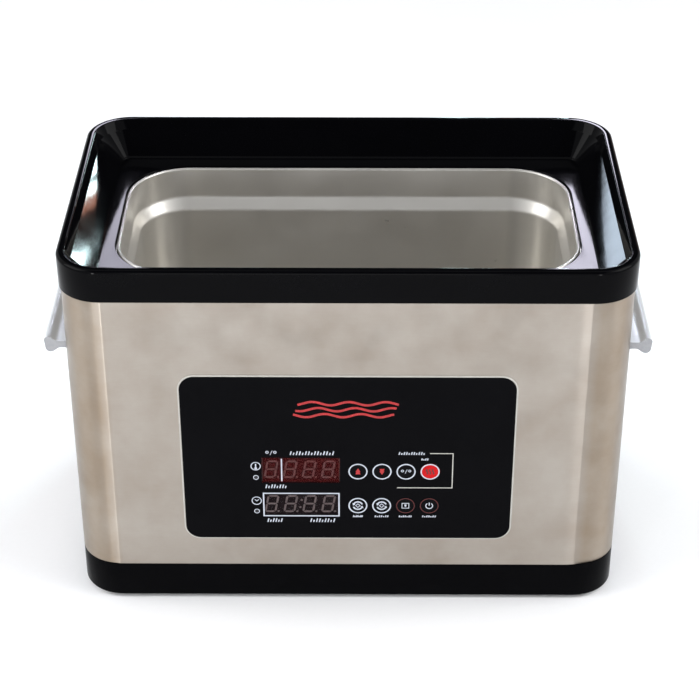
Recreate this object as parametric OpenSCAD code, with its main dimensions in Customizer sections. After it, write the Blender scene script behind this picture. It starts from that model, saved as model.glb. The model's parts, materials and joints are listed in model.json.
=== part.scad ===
// Bench-top sous vide water bath: a stainless tank hangs in a black moulded rim over a sheet-steel
// casing and a black moulded base, with a keypad and two digit displays on the front.
// X runs left to right, Y from the front to the rear, Z up from the table. Sizes in millimetres.

/* [Overall] */
// Width of the top rim, left to right
rim_w = 372; // [366:1:400]
// Depth of the top rim, front to rear
rim_d = 225; // [219:1:240]
// Height of the rim's top above the table
total_h = 262; // [255:1:285]
// Outer corner radius of the rim and the base
corner_r = 30; // [30:1:34]
// Gap that the feet leave under the base
foot_gap = 2; // [1.5:0.5:5]

/* [Rim] */
// Height of the rim's outer wall
rim_h = 23; // [23:1:28]
// Radius of the rim's outer top edge
rim_edge_r = 2.5; // [1.5:0.5:2.5]
// Distance from the rim's outer face to the edge of its flat land
land_in = 5.5; // [5:0.5:6]
// Distance from the rim's outer face to the foot of its inner step
step_in = 9; // [9:0.5:10]
// Drop from the land to the foot of the inner step
step_drop = 6.5; // [6:0.5:8]
// Distance from the rim's outer face to the foot of its slope
slope_in = 23; // [22.5:0.1:23.5]
// Drop from the land to the foot of the slope
slope_drop = 20.9; // [19:0.1:21]
// Drop from the land to the ledge round the tank
ledge_drop = 22.4; // [21.5:0.1:23]
// Distance from the rim's outer face to the ledge's inner edge, at the left and right
ledge_in_x = 31.6; // [31.4:0.1:31.8]
// Distance from the rim's outer face to the ledge's inner edge, at the front and rear
ledge_in_y = 36; // [35.5:0.1:36.2]
// Corner radius of the ledge's opening
ledge_r = 42; // [38:1:44]

/* [Base] */
// Height of the base tray's wall
base_h = 27.5; // [25:0.5:32]
// Radius of the base's bottom edge
base_edge_r = 1.5; // [1:0.5:3]
// Thickness of the base tray's floor
base_floor_t = 3.5; // [3.5:0.5:5]

/* [Casing] */
// How far the casing's face stands in from the rim's outer face
casing_inset = 1.5; // [1.5:0.1:1.8]
// Thickness of the casing's sheet
casing_t = 0.8; // [0.6:0.1:0.8]
// Height of casing hidden behind the rim's lip, and of the base's upstand inside the casing
casing_tuck = 7; // [5:1:7]

/* [Tank] */
// Width of the tank's mouth between its walls
tank_w = 302.4; // [300:0.2:302.6]
// Depth of the tank's mouth between its walls, front to rear
tank_d = 146.6; // [140:0.2:147]
// Corner radius of the tank's mouth
tank_r = 39; // [39:1:42]
// Height of the tank's inside, from its floor to the top of its bead
tank_h = 152; // [130:1:155]
// Thickness of the tank's sheet
tank_t = 0.8; // [0.6:0.1:1]

/* [Panel] */
// Width of the keypad overlay
panel_w = 219; // [212:1:230]
// Height of the keypad overlay
panel_h = 130; // [124:1:134]
// Corner radius of the overlay
panel_r = 10; // [6:1:12]
// Thickness of the overlay
panel_t = 1; // [0.8:0.1:1]
// Height of the overlay's centre above the table
panel_z = 118; // [114:1:122]
// Diameter of a key
key_d = 13; // [12:0.1:13.5]
// Travel of a key
key_travel = 0.4; // [0.2:0.05:0.4]
// Distance between neighbouring keys in a row
key_pitch = 16; // [15.5:0.1:16.5]
// Width of a display window
window_w = 52; // [51.5:0.1:53]
// Height of a display window
window_h = 20; // [19.5:0.1:20.4]

/* [Handles] */
// Length of a handle, front to rear
handle_l = 154; // [130:2:156]
// How far a handle stands out from the casing
handle_out = 16; // [14:0.5:20]
// Height of the handles' middle above the table
handle_z = 186; // [170:1:200]

/* [Hidden] */
$fn = 48;
ARC_STEPS = 12;
FIT = 0.05;

rim_bottom = total_h - rim_h;
ledge_z = total_h - ledge_drop;
ledge_t = 1.6;
lip_t = 1.3;
wall_t = 3;
shell_t = 2.2;
base_bottom = foot_gap;
base_top = base_bottom + base_h;
base_floor_z = base_bottom + base_floor_t;
casing_w = rim_w - 2 * casing_inset;
casing_d = rim_d - 2 * casing_inset;
casing_r = corner_r - casing_inset;
casing_low = base_top;
casing_high = rim_bottom + casing_tuck;
front_y = -casing_d / 2;
front_in_y = front_y + casing_t;
rear_y = casing_d / 2;
rear_in_y = rear_y - casing_t;
side_x = casing_w / 2;

// Tie rods that pull the rim down on the casing and the base
rod_x = rim_w / 2 - 27;
rod_y = rim_d / 2 - 24.5;
rod_d = 4;
rod_boss_d = 10;
rod_boss_h = 14;

// Tank lip, gasket and clamps under the ledge
gasket_t = 1;
flange_z = ledge_z - ledge_t - gasket_t;
flange_out = 7;
bead_r = 1.2;
bead_z = flange_z + bead_r - 0.2;
tank_top = bead_z + bead_r;
tank_floor = tank_top - tank_h;
tank_step_z = tank_top - 22;
tank_step_drop = 8.5;
tank_step_in = 5;
tank_foot_in = 7;
tank_foot_r = 15;
clamp_z = flange_z - tank_t;
clamp_long_x = 90;
clamp_boss_d = 7;
clamp_out = flange_out + clamp_boss_d / 2 + 0.5;
clamp_t = 1.5;
screw_d = 3;

// Heater stack under the tank
mat_w = 210;
mat_d = 90;
mat_t = 1.5;
heat_plate_t = 1;
mat_z = tank_floor - tank_t - mat_t;
heat_plate_z = mat_z - heat_plate_t;
stud_x = 90;
stud_y = 32;
stud_d = 4;
stud_end = 5;
sensor_x = 116;

// Front panel, from the overlay's face inwards
cut_w = panel_w - 20;
cut_h = panel_h - 20;
overlay_y = front_y - panel_t;
frame_t = 2;
frame_back_y = front_in_y + frame_t;
board_y = front_y + 8.2;
board_t = 1.6;
board_w = 140;
board_h = 62;
board_z = panel_z - 23;
key_x0 = 6.8;
key_rows = [panel_z - 9.5, panel_z - 37.7];
key_gap = 0.08;
pocket_depth = 0.7;
plunger_d = 3.4;
switch_w = 6;
switch_t = 3.6;
window_x = -31.2;
window_rows = [panel_z - 8.5, panel_z - 37];
module_w = 50.3;
module_h = 19;
module_t = 8;
lamp_x = -61.2;
lamp_rows = [panel_z - 14.5, panel_z - 42.5];
lamp_d = 3;

// Electronics on the bottom plate
plate_w = 311.4;
plate_d = 161.4;
plate_t = 1;
plate_z = base_bottom + 0.2;
plate_top = plate_z + plate_t;
power_x = 45;
power_w = 150;
power_d = 88;
post_h = 8;
power_z = plate_top + post_h;
power_top = power_z + board_t;

// Appliance inlet in the rear of the casing
inlet_x = 120;
inlet_z = 50;
inlet_w = 27.6;
inlet_h = 20;

handle_bulb = 5.8;
handle_neck = 2.5;

// Points of an arc about centre c, from angle a to angle b
function arc(c, r, a, b, steps = ARC_STEPS) =
    [for (i = [0:steps]) c + r * [cos(a + (b - a) * i / steps), sin(a + (b - a) * i / steps)]];

// Outline of a rectangle with rounded corners
function rounded(w, h, r) = concat(
    arc([w / 2 - r, h / 2 - r], r, 0, 90),
    arc([r - w / 2, h / 2 - r], r, 90, 180),
    arc([r - w / 2, r - h / 2], r, 180, 270),
    arc([w / 2 - r, r - h / 2], r, 270, 360));

// A section of [distance in from the outline, height], carried round a rounded rectangle
module ring(w, d, r, section) {
    profile = [for (p = section) [r - p[0], p[1]]];
    for (q = [0:3]) {
        half = q % 2 == 0 ? w / 2 : d / 2;
        run = (q % 2 == 0 ? d : w) - 2 * r;
        rotate(90 * q) {
            translate([half - r, run / 2, 0]) rotate_extrude(angle = 90, $fn = 96) polygon(profile);
            translate([half - r, run / 2, 0]) rotate([90, 0, 0]) linear_extrude(run) polygon(profile);
        }
    }
}

// Lays an outline, drawn as seen from the front, flat against a plane facing the front at y
module on_front(y, t) {
    translate([0, y + t, 0]) rotate([90, 0, 0]) linear_extrude(t) children();
}

module four(x, y) {
    for (sx = [-1, 1], sy = [-1, 1]) translate([sx * x, sy * y, 0]) children();
}

// Where the six tank clamps stand, each turned so that its +Y points away from the tank
module at_clamps() {
    for (side = [0, 180], x = [-clamp_long_x, clamp_long_x])
        rotate(side) translate([x, tank_d / 2 + clamp_out, 0]) children();
    for (side = [90, 270])
        rotate(side) translate([0, tank_w / 2 + clamp_out, 0]) children();
}

// A cylinder along Y whose front end is at y
module along_y(x, y, z, d, l) {
    translate([x, y, z]) rotate([-90, 0, 0]) cylinder(d = d, h = l);
}

// A pan-head screw whose shank points up; the head's underside is at height 0
module screw(d, l, head_d, head_h) {
    union() {
        cylinder(d = d, h = l);
        translate([0, 0, -head_h]) cylinder(d = head_d, h = head_h);
    }
}

// A hexagon nut standing on height 0
module hex_nut(d, across, h) {
    difference() {
        cylinder(d = across / cos(30), h = h, $fn = 6);
        translate([0, 0, -1]) cylinder(d = d + 2 * FIT, h = h + 2);
    }
}

// ---- Rim, tank and casing ----

rim_section = concat(
    [[0, rim_bottom]],
    arc([rim_edge_r, total_h - rim_edge_r], rim_edge_r, 180, 90, 6),
    arc([land_in, total_h - 1], 1, 90, 25, 4),
    [[step_in, total_h - step_drop],
     [slope_in, total_h - slope_drop],
     [slope_in + 0.3, ledge_z],
     [corner_r - 3, ledge_z],
     [corner_r - 3, ledge_z - ledge_t],
     [slope_in - 1.5, ledge_z - ledge_t],
     [slope_in - 1.5, total_h - slope_drop - 1.6],
     [step_in - 1.5, total_h - step_drop - 1.6],
     [land_in - 0.9, total_h - shell_t],
     [wall_t, total_h - shell_t],
     [wall_t, casing_high + 1],
     [lip_t, casing_high + 1],
     [lip_t, rim_bottom]]);

module top_rim() color([0.09, 0.09, 0.1]) {
    boss_top = ledge_z - 0.2;
    difference() {
        union() {
            ring(rim_w, rim_d, corner_r, rim_section);
            translate([0, 0, ledge_z - ledge_t]) linear_extrude(ledge_t) difference() {
                inner_r = corner_r - slope_in - 1;
                polygon(rounded(rim_w - 2 * slope_in - 2, rim_d - 2 * slope_in - 2, inner_r));
                polygon(rounded(rim_w - 2 * ledge_in_x, rim_d - 2 * ledge_in_y, ledge_r));
            }
            four(rod_x, rod_y) translate([0, 0, boss_top - rod_boss_h])
                cylinder(d = rod_boss_d, h = rod_boss_h);
            at_clamps() translate([0, 0, clamp_z + FIT])
                cylinder(d = clamp_boss_d, h = boss_top - clamp_z - FIT);
        }
        four(rod_x, rod_y) translate([0, 0, boss_top - rod_boss_h - 1])
            cylinder(d = rod_d + 2 * FIT, h = rod_boss_h - 1);
        at_clamps() translate([0, 0, clamp_z - 1]) cylinder(d = screw_d + 2 * FIT, h = 3.4);
    }
}

module tank_gasket() color([0.12, 0.12, 0.12]) {
    ring(tank_w, tank_d, tank_r, [[-flange_out, flange_z], [-3, flange_z],
        [-3, flange_z + gasket_t], [-flange_out, flange_z + gasket_t]]);
}

// Wet face from the flange over the bead and down to the floor, then the dry face back up
tank_section = concat(
    [[-flange_out, flange_z], [-2 * bead_r, flange_z]],
    arc([-bead_r, bead_z], bead_r, 180, 0),
    [[0.6, tank_step_z], [tank_step_in, tank_step_z - tank_step_drop]],
    arc([tank_foot_in + tank_foot_r, tank_floor + tank_foot_r], tank_foot_r, 180, 270),
    [[tank_foot_in + tank_foot_r + 3, tank_floor], [tank_foot_in + tank_foot_r + 3, tank_floor - tank_t]],
    arc([tank_foot_in + tank_foot_r, tank_floor + tank_foot_r], tank_foot_r + tank_t, 270, 180),
    [[tank_step_in - tank_t, tank_step_z - tank_step_drop + 0.3], [0.6 - tank_t, tank_step_z + 0.3]],
    arc([-bead_r, bead_z], bead_r - tank_t, 0, 180, 6),
    [[tank_t - 2 * bead_r, flange_z - tank_t], [-flange_out, flange_z - tank_t]]);

module tank() color([0.62, 0.62, 0.6]) {
    floor_in = tank_foot_in + tank_foot_r + 1.5;
    union() {
        ring(tank_w, tank_d, tank_r, tank_section);
        translate([0, 0, tank_floor - tank_t]) linear_extrude(tank_t)
            polygon(rounded(tank_w - 2 * floor_in, tank_d - 2 * floor_in, tank_r - floor_in));
        four(stud_x, stud_y) translate([0, 0, heat_plate_z - stud_end])
            cylinder(d = stud_d, h = tank_floor - heat_plate_z + stud_end - tank_t / 2);
    }
}

module tank_clamps() color("silver") {
    at_clamps() translate([0, 0, clamp_z - clamp_t]) difference() {
        translate([-7, -10, 0]) cube([14, 14, clamp_t]);
        translate([0, 0, -1]) cylinder(d = screw_d + 2 * FIT, h = clamp_t + 2);
    }
}

module tank_clamp_screws() color("gainsboro") {
    at_clamps() translate([0, 0, clamp_z - clamp_t]) screw(screw_d, 3.6, 5.6, 2);
}

module casing() color([0.76, 0.72, 0.66]) {
    seam_x = -70;
    seam_low = casing_low + casing_tuck + 1;
    difference() {
        union() {
            ring(casing_w, casing_d, casing_r, [[0, casing_low], [casing_t, casing_low],
                [casing_t, casing_high], [0, casing_high]]);
            translate([seam_x - 8, rear_in_y - casing_t, seam_low])
                cube([16, casing_t, casing_high - seam_low]);
            at_panel_studs(front_in_y - casing_t / 2, casing_t / 2 + frame_t + 4);
            along_y(inlet_x - 36, rear_in_y - 9, inlet_z, rod_d, 9 + casing_t / 2);
        }
        translate([seam_x - 0.2, rear_in_y, casing_low - 1]) cube([0.4, 2, casing_high - casing_low + 2]);
        on_front(front_y - 1, casing_t + 2) translate([0, panel_z])
            polygon(rounded(cut_w, cut_h, panel_r - 4));
        on_front(rear_in_y - 0.5, casing_t + 1) translate([inlet_x, inlet_z])
            square([inlet_w + 0.4, inlet_h + 0.4], center = true);
        for (dx = [-20, 20]) along_y(inlet_x + dx, rear_in_y - 1, inlet_z, screw_d + 2 * FIT, 3);
        at_handle_screws() cylinder(d = screw_d + 2 * FIT, h = 4);
    }
}

// Six weld studs behind the overlay's margin
module at_panel_studs(y, l) {
    for (x = [-1, 1], z = [-1, 1])
        along_y(x * (cut_w / 2 + 4), y, panel_z + z * (cut_h / 2 - 8), screw_d, l);
    for (z = [-1, 1]) along_y(0, y, panel_z + z * (cut_h / 2 + 4), screw_d, l);
}

module tie_rods() color("silver") {
    four(rod_x, rod_y) translate([0, 0, base_bottom + 1])
        cylinder(d = rod_d, h = ledge_z - base_bottom - 4);
}

module tie_rod_nuts() color("silver") {
    four(rod_x, rod_y) translate([0, 0, base_bottom]) hex_nut(rod_d, 7, 3);
}

// ---- Base ----

// The casing stands on the base's shoulder, flush outside, round an upstand
shoulder_in = casing_t + 0.2;
base_section = concat(
    [[shoulder_in, base_top], [0, base_top]],
    arc([base_edge_r, base_bottom + base_edge_r], base_edge_r, 180, 270, 6),
    [[casing_r - 3, base_bottom],
     [casing_r - 3, base_floor_z],
     [wall_t, base_floor_z],
     [wall_t, base_top + casing_tuck],
     [shoulder_in, base_top + casing_tuck]]);

foot_x = rim_w / 2 - 45;
foot_y = rim_d / 2 - 17;
plate_screws = [[plate_w / 2 - 3, 50], [plate_w / 2 - 3, -50], [3 - plate_w / 2, 50],
    [3 - plate_w / 2, -50], [0, plate_d / 2 - 3], [0, 3 - plate_d / 2]];

module base_tray() color([0.08, 0.08, 0.09]) {
    difference() {
        union() {
            ring(casing_w, casing_d, casing_r, base_section);
            translate([0, 0, base_bottom]) linear_extrude(base_floor_t) difference() {
                polygon(rounded(casing_w - 50, casing_d - 50, casing_r - 25));
                polygon(rounded(plate_w - 11.4, plate_d - 11.4, 8));
            }
            four(rod_x, rod_y) translate([0, 0, base_bottom]) cylinder(d = 12, h = 18);
            four(foot_x, foot_y) translate([0, 0, base_bottom]) cylinder(d = 10, h = 14);
            for (p = plate_screws) translate([p[0], p[1], base_floor_z - 1]) cylinder(d = 6, h = 7);
        }
        translate([0, 0, base_bottom - 1]) linear_extrude(1 + plate_top - base_bottom)
            polygon(rounded(plate_w + 0.6, plate_d + 0.6, 12));
        four(rod_x, rod_y) translate([0, 0, base_bottom - 1]) {
            cylinder(d = rod_d + 2 * FIT, h = 24);
            cylinder(d = 9, h = 4.2);
        }
        four(foot_x, foot_y) translate([0, 0, base_bottom - 1]) {
            cylinder(d = 18.4, h = 3);
            cylinder(d = rod_d + 2 * FIT, h = 12);
        }
        for (p = plate_screws) translate([p[0], p[1], base_bottom])
            cylinder(d = screw_d + 2 * FIT, h = 8.5);
    }
}

module bottom_plate() color([0.6, 0.6, 0.6]) {
    slots_x = [-130, -116, -102, -88, -74, -60];
    translate([0, 0, plate_z]) linear_extrude(plate_t) difference() {
        polygon(rounded(plate_w, plate_d, 11));
        for (x = slots_x, y = [-32, 32]) translate([x, y]) polygon(rounded(4, 40, 1.9));
        for (p = plate_screws) translate(p) circle(d = screw_d + 2 * FIT);
        at_posts() circle(d = screw_d + 2 * FIT);
    }
}

module bottom_plate_screws() color("gainsboro") {
    for (p = plate_screws) translate([p[0], p[1], plate_z]) screw(screw_d, 7, 5.6, 1.6);
}

module feet() color([0.13, 0.13, 0.13]) {
    four(foot_x, foot_y) difference() {
        union() {
            translate([0, 0, 1]) cylinder(d = 18, h = base_bottom + 1);
            cylinder(d1 = 16, d2 = 18, h = 1);
        }
        translate([0, 0, -1]) cylinder(d = 9, h = 3);
        translate([0, 0, -1]) cylinder(d = rod_d + 2 * FIT, h = 10);
    }
}

module foot_screws() color("silver") {
    four(foot_x, foot_y) translate([0, 0, 2]) screw(rod_d, base_bottom + 7, 7.6, 1.4);
}

// ---- Heating and sensing ----

module heater_mat() color([0.75, 0.33, 0.16]) {
    translate([0, 0, mat_z]) linear_extrude(mat_t) difference() {
        polygon(rounded(mat_w, mat_d, 6));
        four(stud_x, stud_y) circle(d = stud_d + 0.6);
    }
}

module heater_clamp_plate() color([0.8, 0.8, 0.82]) {
    translate([0, 0, heat_plate_z]) linear_extrude(heat_plate_t) difference() {
        polygon(rounded(mat_w - 4, mat_d - 4, 5));
        four(stud_x, stud_y) circle(d = stud_d + 0.6);
    }
}

module heater_nuts() color("silver") {
    four(stud_x, stud_y) translate([0, 0, heat_plate_z - 3.2]) hex_nut(stud_d, 7, 3.2);
}

module tank_insulation() color([0.9, 0.88, 0.8]) {
    low = tank_floor + tank_foot_r + 2;
    high = tank_step_z - tank_step_drop - 2;
    thick = 6;
    ring(tank_w, tank_d, tank_r, [
        [tank_foot_in - tank_t - 0.5, low], [tank_step_in - tank_t - 0.5, high],
        [tank_step_in - tank_t - 0.5 - thick, high], [tank_foot_in - tank_t - 0.5 - thick, low]]);
}

module thermal_cutout() color([0.25, 0.25, 0.27]) {
    union() {
        translate([sensor_x, 22, tank_floor - tank_t - 7]) cylinder(d = 14, h = 7);
        translate([sensor_x - 9.5, 20, tank_floor - tank_t - 1]) cube([19, 4, 1]);
        for (dx = [-4, 4]) translate([sensor_x + dx - 0.4, 19, tank_floor - tank_t - 14]) cube([0.8, 6, 8]);
    }
}

module thermal_fuse() color([0.85, 0.82, 0.7]) {
    translate([sensor_x, -28, tank_floor - tank_t - 2.5]) rotate([-90, 0, 0]) cylinder(d = 4, h = 14);
}

module temperature_probe() color([0.7, 0.7, 0.72]) {
    translate([-sensor_x, -14, tank_floor - tank_t - 3]) rotate([-90, 0, 0]) union() {
        cylinder(d = 5, h = 28);
        translate([0, 0, -10]) cylinder(d = 2.4, h = 12);
    }
}

// ---- Front panel ----

module at_keys() {
    for (row = [0, 1], i = [0:3]) translate([key_x0 + i * key_pitch, key_rows[row]]) children();
}

module panel_outline_holes(gap) {
    for (z = window_rows) translate([window_x, z]) square([window_w + gap, window_h + gap], center = true);
}

module panel_frame() color([0.15, 0.15, 0.16]) {
    bosses = [[-board_w / 2 + 4, -board_h / 2 + 4], [board_w / 2 - 4, -board_h / 2 + 4],
        [-board_w / 2 + 4, board_h / 2 - 4], [board_w / 2 - 4, board_h / 2 - 4]];
    difference() {
        union() {
            on_front(front_y, frame_t) translate([0, panel_z])
                polygon(rounded(cut_w - 0.4, cut_h - 0.4, panel_r - 4.2));
            on_front(front_in_y, frame_t) translate([0, panel_z])
                polygon(rounded(cut_w + 16, cut_h + 16, panel_r));
            for (p = bosses)
                along_y(p[0], frame_back_y - 0.5, board_z + p[1], 6, board_y - frame_back_y + 0.5);
        }
        at_panel_studs(front_y - 1, 8);
        for (z = window_rows) on_front(front_y - 1, 6) translate([window_x, z])
            square([module_w + 0.4, module_h + 0.4], center = true);
        on_front(front_y - 1, 1 + pocket_depth) at_keys() circle(d = key_d + 1.4);
        on_front(front_y - 1, 6) at_keys() circle(d = plunger_d + 0.8);
        for (z = lamp_rows) along_y(lamp_x, front_y - 1, z, lamp_d + 1, 6);
        for (p = bosses) along_y(p[0], frame_back_y + 0.5, board_z + p[1], screw_d + 2 * FIT, 8);
    }
}

module panel_nuts() color("silver") {
    for (x = [-1, 1], z = [-1, 1])
        translate([x * (cut_w / 2 + 4), frame_back_y, panel_z + z * (cut_h / 2 - 8)])
            rotate([-90, 0, 0]) hex_nut(screw_d, 5.5, 2.4);
    for (z = [-1, 1]) translate([0, frame_back_y, panel_z + z * (cut_h / 2 + 4)])
        rotate([-90, 0, 0]) hex_nut(screw_d, 5.5, 2.4);
}

module panel_overlay() color([0.06, 0.06, 0.07]) {
    on_front(overlay_y, panel_t) difference() {
        translate([0, panel_z]) polygon(rounded(panel_w, panel_h, panel_r));
        panel_outline_holes(2 * FIT);
        at_keys() circle(d = key_d + 2 * key_gap);
    }
}

module display_window(row) {
    on_front(overlay_y, panel_t) translate([window_x, window_rows[row]])
        square([window_w, window_h], center = true);
}

module temperature_window() color([0.35, 0.03, 0.03]) display_window(0);

module timer_window() color([0.3, 0.05, 0.05]) display_window(1);

// A four-digit seven-segment module with its two rows of pins
module digit_module(row) {
    translate([window_x, board_y, window_rows[row]]) union() {
        translate([-module_w / 2, -module_t, -module_h / 2]) cube([module_w, module_t, module_h]);
        for (z = [-1, 1], i = [0:5]) along_y((i - 2.5) * 2.54, -1, z * 7.62, 0.5, 4);
    }
}

module temperature_display() color([0.2, 0.2, 0.21]) digit_module(0);

module timer_display() color([0.2, 0.2, 0.21]) digit_module(1);

module indicator_lamps() color([0.8, 0.8, 0.8]) {
    for (z = lamp_rows) union() {
        along_y(lamp_x, front_y + 0.2, z, lamp_d, 5);
        along_y(lamp_x, front_y + 4.6, z, lamp_d + 0.8, 1);
        for (dx = [-1.27, 1.27]) along_y(lamp_x + dx, front_y + 5.4, z, 0.5, 5.5);
    }
}

module display_board() color([0.1, 0.32, 0.16]) {
    on_front(board_y, board_t) difference() {
        translate([0, board_z]) square([board_w, board_h], center = true);
        for (sx = [-1, 1], sz = [-1, 1])
            translate([sx * (board_w / 2 - 4), board_z + sz * (board_h / 2 - 4)])
                circle(d = screw_d + 2 * FIT);
        for (row = window_rows, z = [-1, 1], i = [0:5])
            translate([window_x + (i - 2.5) * 2.54, row + z * 7.62]) circle(d = 0.5 + 2 * FIT);
        for (z = lamp_rows, dx = [-1.27, 1.27]) translate([lamp_x + dx, z]) circle(d = 0.5 + 2 * FIT);
    }
}

module board_screws() color("gainsboro") {
    for (sx = [-1, 1], sz = [-1, 1])
        translate([sx * (board_w / 2 - 4), board_y + board_t, board_z + sz * (board_h / 2 - 4)])
            rotate([90, 0, 0]) screw(screw_d, 5.5, 5.6, 2);
    at_posts() translate([0, 0, power_top]) mirror([0, 0, 1]) screw(screw_d, 5, 5.6, 2);
}

module tact_switches() color([0.1, 0.1, 0.1]) {
    on_front(board_y - 1, 1) at_keys() square(switch_w, center = true);
    on_front(board_y - switch_t, switch_t - 1) at_keys() difference() {
        square(switch_w, center = true);
        circle(d = plunger_d + 2 * FIT);
    }
}

module buzzer() color([0.12, 0.12, 0.12]) {
    along_y(52, board_y + board_t, board_z + 14, 12, 8);
}

// The printed disc of one key, and the plunger of the switch behind it
module key(row, i) {
    x = key_x0 + i * key_pitch;
    along_y(x, overlay_y, key_rows[row], key_d, panel_t);
    along_y(x, front_y + FIT, key_rows[row], plunger_d, board_y - front_y - 1.5 - FIT);
}

module key_raise() color([0.12, 0.11, 0.11]) key(0, 0);
module key_lower() color([0.12, 0.11, 0.11]) key(0, 1);
module key_units() color([0.12, 0.11, 0.11]) key(0, 2);
module key_heat() color([0.75, 0.1, 0.08]) key(0, 3);
module key_hours() color([0.12, 0.11, 0.11]) key(1, 0);
module key_minutes() color([0.12, 0.11, 0.11]) key(1, 1);
module key_preset() color([0.12, 0.11, 0.11]) key(1, 2);
module key_power() color([0.12, 0.11, 0.11]) key(1, 3);

// ---- Electronics in the base ----

module at_posts() {
    for (sx = [-1, 1], sy = [-1, 1])
        translate([power_x + sx * (power_w / 2 - 5), sy * (power_d / 2 - 5), 0]) children();
}

module power_board() color([0.12, 0.35, 0.18]) {
    translate([0, 0, power_z]) linear_extrude(board_t) difference() {
        translate([power_x, 0]) square([power_w, power_d], center = true);
        at_posts() circle(d = screw_d + 2 * FIT);
    }
}

module board_posts() color([0.8, 0.7, 0.4]) {
    at_posts() difference() {
        translate([0, 0, plate_top]) cylinder(d = 6, h = post_h);
        translate([0, 0, plate_top - 1]) cylinder(d = screw_d + 2 * FIT, h = post_h + 2);
    }
}

// An iron core round a bobbin, standing on the power board
module transformer() color([0.35, 0.33, 0.3]) {
    translate([power_x + 40, -16, power_top]) union() {
        translate([-22, -9, 0]) cube([44, 18, 36]);
        translate([-14, -17, 6]) cube([28, 34, 24]);
    }
}

module relay() color([0.15, 0.2, 0.55]) {
    translate([power_x - 10, -34, power_top]) cube([16, 28, 20]);
}

module heat_sink() color([0.55, 0.56, 0.58]) {
    translate([power_x - 60, 8, power_top]) union() {
        cube([44, 3, 28]);
        for (i = [0:6]) translate([i * 7, 2, 0]) cube([2, 14, 28]);
    }
}

module triac() color([0.1, 0.1, 0.1]) {
    translate([power_x - 43, 3.4, power_top + 6]) union() {
        cube([10, 4.6, 16]);
        for (i = [0:2]) translate([2.1 + i * 2.54, 2, -6]) cube([0.8, 0.8, 7]);
    }
}

module fuse_holder() color([0.1, 0.1, 0.11]) {
    translate([power_x + 20, 28, power_top]) difference() {
        translate([-14, -5, 0]) cube([28, 10, 9]);
        translate([-11, 0, 8]) rotate([0, 90, 0]) cylinder(d = 5.3, h = 22);
    }
}

module fuse() color([0.85, 0.85, 0.82]) {
    translate([power_x + 10, 28, power_top + 8]) rotate([0, 90, 0]) cylinder(d = 5.2, h = 20);
}

module terminal_block() color([0.15, 0.4, 0.2]) {
    translate([power_x + 44, 20, power_top]) difference() {
        cube([30, 12, 14]);
        for (i = [0:3]) translate([5 + i * 6.6, 6, 9]) cylinder(d = 4, h = 6);
    }
}

// ---- Leads ----

// An eight-sided wire through a list of points
module wire(points, d) {
    for (i = [0:len(points) - 2]) {
        a = points[i];
        step = points[i + 1] - a;
        l = norm(step);
        translate(a) rotate([0, acos(step[2] / l), atan2(step[1], step[0])])
            translate([0, 0, -d / 3]) cylinder(d = d, h = l + 2 * d / 3, $fn = 8);
    }
}

module ribbon_cable() color([0.7, 0.7, 0.7]) {
    top_z = board_z - 12;
    back_y = board_y + board_t;
    low_z = power_top + 7;
    translate([power_x + 10, 0, 0]) rotate([90, 0, 90]) linear_extrude(20) polygon([
        [back_y, top_z], [back_y + 6, top_z], [back_y + 6, low_z + 2], [-36, low_z + 2],
        [-36, power_top], [-38, power_top], [-38, low_z], [back_y + 4, low_z],
        [back_y + 4, top_z - 4], [back_y, top_z - 4]]);
}

// ---- Mains inlet ----

// The face of the inlet, with its two cut corners at the top
function inlet_face(w, h, cut) = [[-w / 2, -h / 2], [w / 2, -h / 2], [w / 2, h / 2 - cut],
    [w / 2 - cut, h / 2], [cut - w / 2, h / 2], [-w / 2, h / 2 - cut]];

module mains_inlet() color([0.1, 0.1, 0.1]) {
    lip_y = rear_y + 0.7;
    difference() {
        union() {
            on_front(rear_in_y - 19, lip_y - rear_in_y + 19) translate([inlet_x, inlet_z])
                square([inlet_w, inlet_h], center = true);
            on_front(rear_in_y - 2, 2) translate([inlet_x, inlet_z]) square([48, 24], center = true);
        }
        on_front(lip_y - 16, 17) translate([inlet_x, inlet_z]) polygon(inlet_face(24.4, 16.8, 4));
        for (dx = [-20, 20]) along_y(inlet_x + dx, rear_in_y - 4, inlet_z, screw_d + 2 * FIT, 6);
        at_inlet_pins() cube([2 + 2 * FIT, 30, 4 + 2 * FIT], center = true);
    }
}

module at_inlet_pins() {
    for (p = [[-7, -2], [7, -2], [0, 2]])
        translate([inlet_x + p[0], rear_y - 16, inlet_z + p[1]]) children();
}

module inlet_pins() color([0.8, 0.78, 0.7]) {
    at_inlet_pins() translate([-1, -10, -2]) cube([2, 24.5, 4]);
}

module inlet_fixings() color("silver") {
    for (dx = [-20, 20]) {
        translate([inlet_x + dx, rear_y, inlet_z]) rotate([90, 0, 0]) screw(screw_d, 8, 5.6, 1.3);
        translate([inlet_x + dx, rear_in_y - 2, inlet_z]) rotate([90, 0, 0]) hex_nut(screw_d, 5.5, 2.4);
    }
    translate([inlet_x - 36, rear_in_y - 1, inlet_z]) rotate([90, 0, 0]) hex_nut(rod_d, 7, 3.2);
}

module mains_leads() color([0.5, 0.3, 0.15]) {
    back = rear_y - 27;
    for (i = [0, 1]) {
        x = inlet_x - 7 + 14 * i;
        clamp_x = power_x + 49 + 6.6 * i;
        wire([[x, back, inlet_z - 2], [x, back - 6 - 4 * i, inlet_z - 2],
            [clamp_x, 26, power_top + 24], [clamp_x, 26, power_top + 12]], 2.6);
    }
}

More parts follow.
